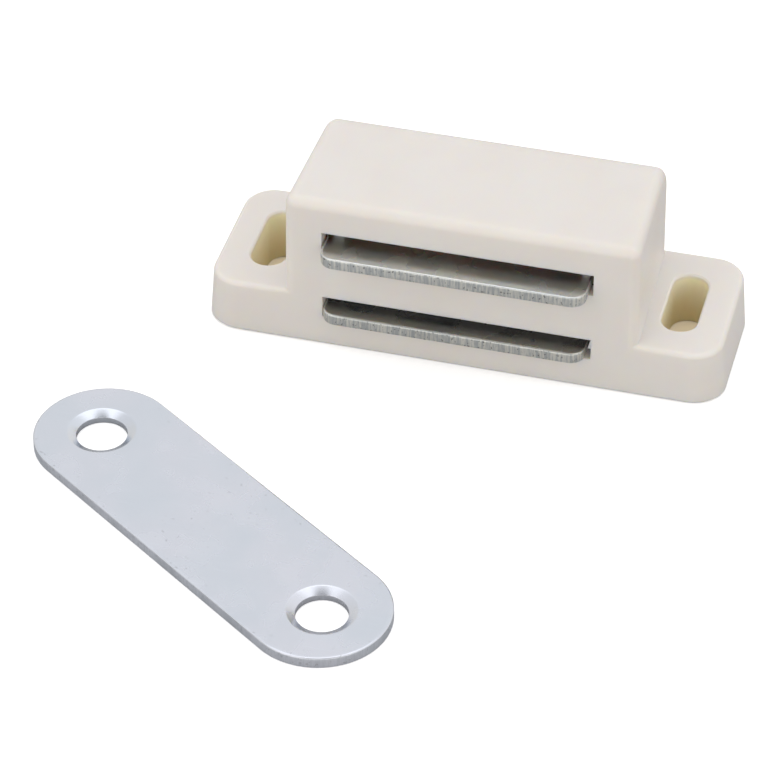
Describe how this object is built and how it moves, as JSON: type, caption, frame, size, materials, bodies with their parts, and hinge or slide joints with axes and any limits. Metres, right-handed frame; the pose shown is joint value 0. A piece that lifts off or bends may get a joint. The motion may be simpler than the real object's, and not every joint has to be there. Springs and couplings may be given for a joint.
{
  "type": "magnetic catch",
  "caption": "Surface-mounted magnetic catch: block with slotted ears, magnet between floating steel pole plates, and a round-ended strike plate with countersunk holes.",
  "frame": {"origin": "centre of the mounting face, midway between the two screw slots", "axes": "+X along the housing, -Y out of the pole face towards the door, +Z away from the mounting face"},
  "size_m": [0.0558, 0.055, 0.0154],
  "materials": {
    "ivory_plastic": "satin moulded",
    "ferrite": "matt, pressed ceramic",
    "plated_steel": "bright zinc plate",
    "strike_steel": "zinc plate with a faint blue passivate"
  },
  "bodies": {
    "catch_body": {"housing": "ivory_plastic", "magnet": "ferrite", "strike_plate": "strike_steel"},
    "upper_plate": {"upper_pole_plate": "plated_steel"},
    "lower_plate": {"lower_pole_plate": "plated_steel"}
  },
  "joints": [
    {"name": "upper_plate_float", "type": "slide", "parent": "catch_body", "child": "upper_plate", "axis": [0, -1, 0], "range_m": [-0.0016, 0.0002]},
    {"name": "lower_plate_float", "type": "slide", "parent": "catch_body", "child": "lower_plate", "axis": [0, -1, 0], "range_m": [-0.0005, 0.0013]}
  ]
}
